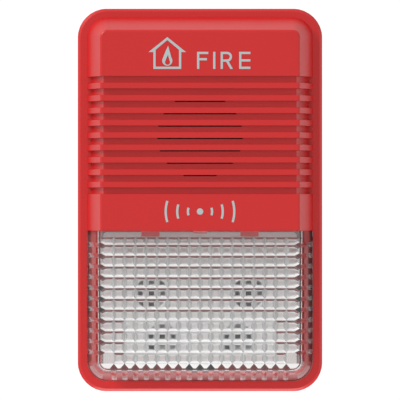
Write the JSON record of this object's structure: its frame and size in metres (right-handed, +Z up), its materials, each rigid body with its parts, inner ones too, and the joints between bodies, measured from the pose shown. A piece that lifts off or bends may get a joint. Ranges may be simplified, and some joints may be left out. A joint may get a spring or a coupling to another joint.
{
  "type": "wall horn strobe",
  "caption": "Wall-mounted red horn strobe: louvred sounder above a clear prismatic flash lens, on a plug-in head that pulls off a wiring base with screw terminals.",
  "frame": {"origin": "on the wall plane, at the centre of the two horizontal wall slots", "axes": "+Z up the wall, +X to the right seen from the front, front facing -Y"},
  "size_m": [0.092, 0.0461, 0.144],
  "materials": {
    "red_plastic": "satin, fine moulded grain",
    "base_plastic": "satin, coarser moulded grain",
    "dark_red_plastic": "matt moulded inside of the housing",
    "clear_lens": "clear, polished outside, prisms inside",
    "silver_ink": "pad-printed metallic grey",
    "white_plastic": "glossy white reflector",
    "white_board": "white solder resist",
    "green_board": "green solder resist",
    "led": "package with a clear dome",
    "brass": "stamped",
    "steel": "zinc plated",
    "black_plastic": "moulded epoxy",
    "switch_red": "moulded",
    "slider_white": "moulded",
    "ferrite": "sintered",
    "copper": "enamelled wire",
    "capacitor_sleeve": "can with a dark stripe",
    "chip_ceramic": "ceramic",
    "plug_plastic": "nylon",
    "lead_red": "PVC sleeve",
    "lead_black": "PVC sleeve",
    "mesh": "woven dust screen",
    "foam": "closed-cell foam",
    "grey_plastic": "moulded",
    "piezo_ceramic": "silvered ceramic",
    "seal_rubber": "silicone",
    "label": "blank polyester label"
  },
  "bodies": {
    "base": {"base_plate": "base_plastic", "contact_strip_1": "brass", "contact_strip_2": "brass", "contact_strip_3": "brass", "contact_strip_4": "brass", "wire_clamps": "steel"},
    "head": {"front_cover": "red_plastic", "front_print": "silver_ink", "lens": "clear_lens", "reflector": "white_plastic", "led_board": "white_board", "led_1": "led", "led_2": "led", "led_3": "led", "led_4": "led", "led_board_screws": "steel", "board_header": "black_plastic", "main_board": "green_board", "main_board_screws": "steel", "dip_switch_body": "switch_red", "inductor_core": "ferrite", "inductor_winding": "copper", "electrolytic_capacitor": "capacitor_sleeve", "microcontroller": "black_plastic", "power_transistors": "black_plastic", "small_components": "chip_ceramic", "lead_socket": "white_plastic", "lead_plug": "plug_plastic", "piezo_lead_red": "lead_red", "piezo_lead_black": "lead_black", "dust_mesh": "mesh", "mesh_gasket": "foam", "sound_chamber": "grey_plastic", "piezo_disc": "brass", "piezo_ceramic": "piezo_ceramic", "piezo_ring": "grey_plastic", "chamber_screws": "steel", "plug_blade_1": "brass", "plug_blade_2": "brass", "plug_blade_3": "brass", "plug_blade_4": "brass", "rear_shell": "dark_red_plastic", "housing_seal": "seal_rubber", "housing_screws": "steel", "rating_label": "label"},
    "terminal_screw_1": {"terminal_screw_1": "steel"},
    "terminal_screw_2": {"terminal_screw_2": "steel"},
    "terminal_screw_3": {"terminal_screw_3": "steel"},
    "terminal_screw_4": {"terminal_screw_4": "steel"},
    "dip_slider_1": {"dip_slider_1": "slider_white"},
    "dip_slider_2": {"dip_slider_2": "slider_white"},
    "dip_slider_3": {"dip_slider_3": "slider_white"},
    "dip_slider_4": {"dip_slider_4": "slider_white"}
  },
  "joints": [
    {"name": "head_pull", "type": "slide", "parent": "base", "child": "head", "axis": [0, -1, 0], "range_m": [0, 0.06]},
    {"name": "terminal_screw_1_turn", "type": "hinge", "parent": "base", "child": "terminal_screw_1", "pos_m": [-0.024, -0.008, -0.02], "axis": [0, -1, 0], "continuous": true},
    {"name": "terminal_screw_2_turn", "type": "hinge", "parent": "base", "child": "terminal_screw_2", "pos_m": [-0.009, -0.008, -0.02], "axis": [0, -1, 0], "continuous": true},
    {"name": "terminal_screw_3_turn", "type": "hinge", "parent": "base", "child": "terminal_screw_3", "pos_m": [0.009, -0.008, -0.02], "axis": [0, -1, 0], "continuous": true},
    {"name": "terminal_screw_4_turn", "type": "hinge", "parent": "base", "child": "terminal_screw_4", "pos_m": [0.024, -0.008, -0.02], "axis": [0, -1, 0], "continuous": true},
    {"name": "dip_slider_1_slide", "type": "slide", "parent": "head", "child": "dip_slider_1", "axis": [1, 0, 0], "range_m": [0, 0.0018]},
    {"name": "dip_slider_2_slide", "type": "slide", "parent": "head", "child": "dip_slider_2", "axis": [1, 0, 0], "range_m": [0, 0.0018]},
    {"name": "dip_slider_3_slide", "type": "slide", "parent": "head", "child": "dip_slider_3", "axis": [1, 0, 0], "range_m": [0, 0.0018]},
    {"name": "dip_slider_4_slide", "type": "slide", "parent": "head", "child": "dip_slider_4", "axis": [1, 0, 0], "range_m": [0, 0.0018]}
  ]
}
